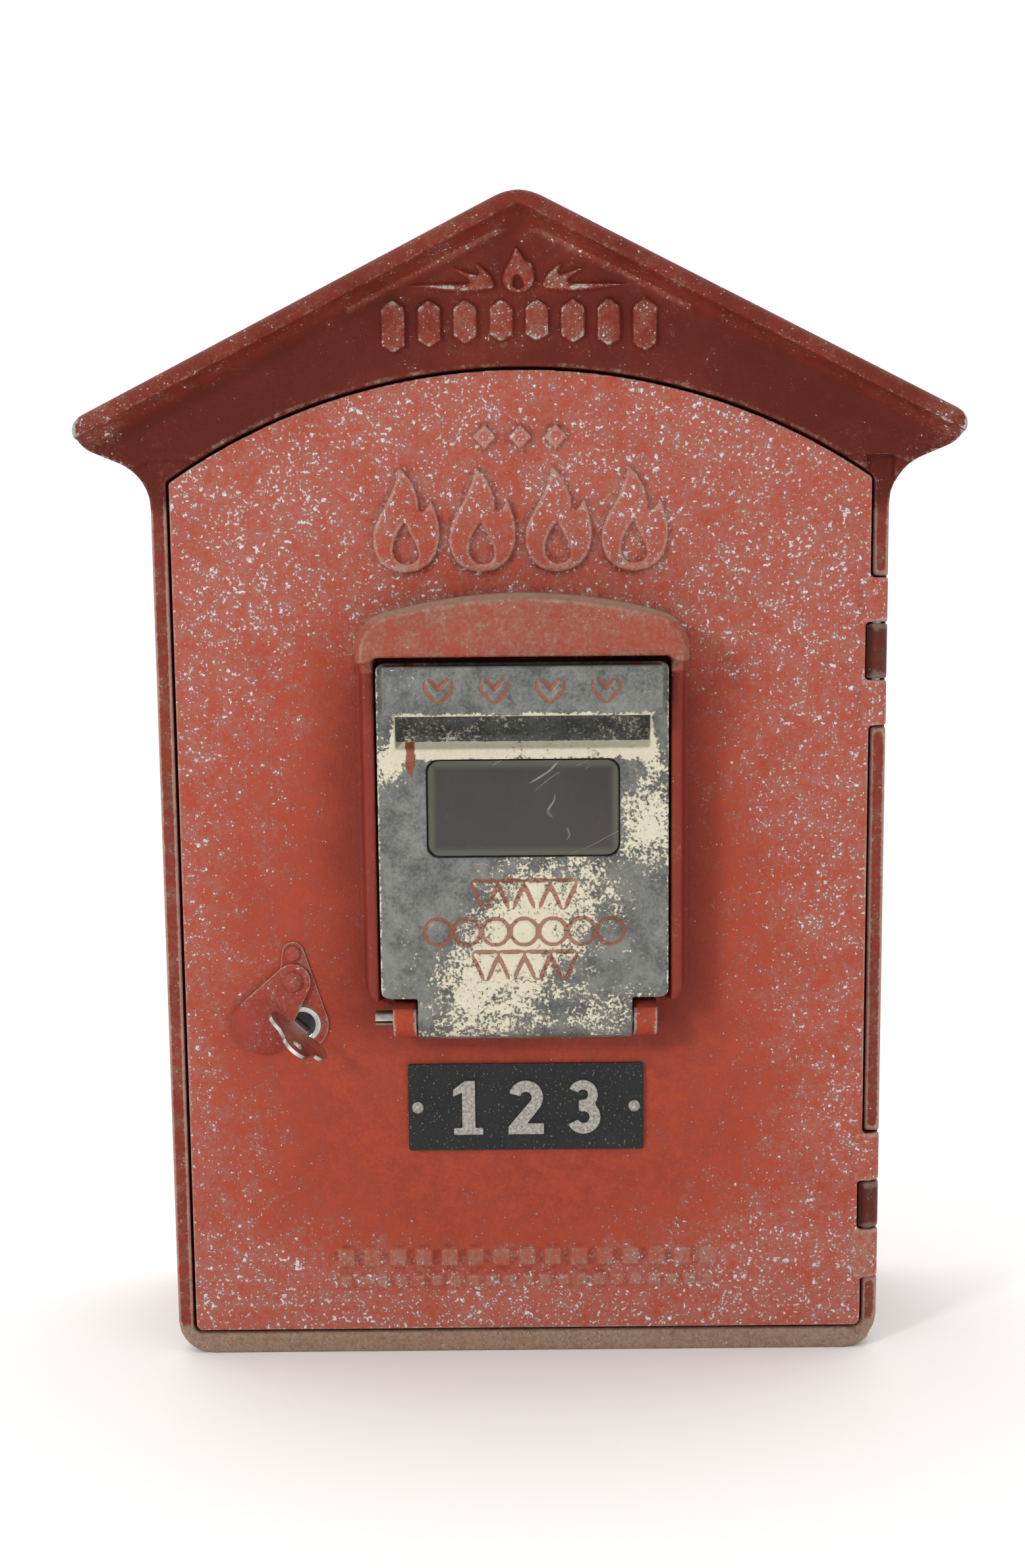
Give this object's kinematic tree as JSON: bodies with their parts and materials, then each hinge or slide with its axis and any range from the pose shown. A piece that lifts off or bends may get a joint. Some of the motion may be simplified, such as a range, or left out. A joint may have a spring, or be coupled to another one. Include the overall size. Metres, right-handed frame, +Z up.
{
  "type": "street fire alarm box",
  "caption": "Cast gabled street fire alarm box with a hinged arched door, drop flap over a pull hook, key lock with swing cover, and a clockwork signalling movement inside.",
  "frame": {"origin": "centre of the four wall bolts on the flat back face", "axes": "+X to the right of the box as it is faced, the door facing -Y, +Z up"},
  "size_m": [0.322, 0.1468, 0.432],
  "materials": {
    "red_enamel": "weathered satin paint on a casting",
    "flap_paint": "worn cream paint over grey metal",
    "hook_enamel": "satin white enamel",
    "plate_black": "satin black with fine speckle",
    "digit_metal": "dull oxidised",
    "steel": "satin",
    "spring_steel": "blued",
    "nickel": "nickel plate",
    "dark_metal": "dark satin",
    "brass": "satin, lightly tarnished",
    "bell_metal": "nickel plated",
    "insulator": "moulded phenolic",
    "coil_winding": "varnished cotton winding",
    "seal_rubber": "aged rubber",
    "window_glass": "dark scratched glass"
  },
  "bodies": {
    "box": {"housing": "red_enamel", "door_gasket": "seal_rubber", "hinge_pins": "steel", "strike_plate": "steel", "movement_back_plate": "brass", "movement_front_plate": "brass", "movement_pillars": "brass", "movement_screws": "steel", "pillar_nuts": "steel", "start_bracket": "steel", "start_pin": "steel", "contact_block": "insulator", "contact_springs": "brass", "terminal_block": "insulator", "terminal_screws": "brass", "ground_screw": "brass", "gong": "bell_metal", "gong_screw": "steel", "bell_frame": "dark_metal", "bell_coils": "coil_winding", "signal_key_base": "insulator"},
    "door": {"door": "red_enamel", "number_plate": "plate_black", "plate_digits": "digit_metal", "plate_rivets": "digit_metal", "lock_escutcheon": "red_enamel", "escutcheon_rivet": "red_enamel", "cover_rivet": "red_enamel", "lock_cylinder": "nickel", "lock_nut": "steel", "hook_plate": "red_enamel", "hook_plate_screws": "steel", "hook_pin": "steel", "hook_spring": "spring_steel", "flap_pin": "steel", "flap_spring": "spring_steel"},
    "flap": {"flap": "flap_paint", "flap_window": "window_glass", "window_gasket": "seal_rubber", "window_retainer": "steel", "retainer_screws": "steel"},
    "cover": {"keyhole_cover": "red_enamel"},
    "lock": {"lock_plug": "dark_metal", "lock_cam": "steel", "cam_screw": "steel"},
    "key": {"key": "nickel"},
    "hook": {"pull_hook": "hook_enamel"},
    "starting_lever": {"starting_lever": "steel"},
    "striker": {"bell_striker": "steel"},
    "signal_key": {"signal_key_lever": "brass"},
    "main_wheel": {"great_wheel": "brass", "spring_barrel": "brass", "mainspring": "spring_steel", "code_wheel": "brass"},
    "second_wheel": {"second_wheel": "brass"},
    "fly": {"governor_fly": "brass"}
  },
  "joints": [
    {"name": "door_hinge", "type": "hinge", "parent": "box", "child": "door", "pos_m": [0.1315, -0.1085, 0], "axis": [0, 0, 1], "range_deg": [0, 105]},
    {"name": "flap_hinge", "type": "hinge", "parent": "door", "child": "flap", "pos_m": [0, -0.124, -0.0555], "axis": [1, 0, 0], "range_deg": [0, 170], "stiffness_Nm_per_rad": 0.12, "springref_deg": -28.65},
    {"name": "cover_pivot", "type": "hinge", "parent": "door", "child": "cover", "pos_m": [-0.0879, -0.114, -0.043], "axis": [0, 1, 0], "range_deg": [0, 65]},
    {"name": "lock_turn", "type": "hinge", "parent": "door", "child": "lock", "pos_m": [-0.0848, -0.1, -0.0598], "axis": [0, 1, 0], "range_deg": [0, 49]},
    {"name": "key_slide", "type": "slide", "parent": "lock", "child": "key", "axis": [0, -1, 0], "range_m": [0, 0.03]},
    {"name": "hook_pull", "type": "hinge", "parent": "door", "child": "hook", "pos_m": [0, -0.086, 0.01], "axis": [1, 0, 0], "range_deg": [0, 40], "stiffness_Nm_per_rad": 0.4, "springref_deg": -8.59},
    {"name": "starting_lever_pivot", "type": "hinge", "parent": "box", "child": "starting_lever", "pos_m": [0, -0.053, 0.036], "axis": [1, 0, 0], "range_deg": [-36, 0]},
    {"name": "striker_pivot", "type": "hinge", "parent": "box", "child": "striker", "pos_m": [0.122, -0.022, 0.003], "axis": [0, -1, 0], "range_deg": [0, 3], "stiffness_Nm_per_rad": 0.3, "springref_deg": -5.73},
    {"name": "signal_key_press", "type": "hinge", "parent": "box", "child": "signal_key", "pos_m": [-0.09, -0.024, -0.093], "axis": [0, 0, -1], "range_deg": [0, 4], "stiffness_Nm_per_rad": 0.4, "springref_deg": -5.73},
    {"name": "main_wheel_spin", "type": "hinge", "parent": "box", "child": "main_wheel", "pos_m": [-0.024, 0, -0.018], "axis": [0, 1, 0], "continuous": true},
    {"name": "second_wheel_spin", "type": "hinge", "parent": "box", "child": "second_wheel", "pos_m": [0.01341, 0, 0.0036], "axis": [0, 1, 0], "continuous": true},
    {"name": "fly_spin", "type": "hinge", "parent": "box", "child": "fly", "pos_m": [0.03799, 0, -0.01361], "axis": [0, 1, 0], "continuous": true}
  ],
  "couplings": [
    {"joint": "starting_lever_pivot", "follows": "hook_pull", "ratio": -0.9},
    {"joint": "second_wheel_spin", "follows": "main_wheel_spin", "ratio": -5},
    {"joint": "fly_spin", "follows": "main_wheel_spin", "ratio": 25}
  ]
}
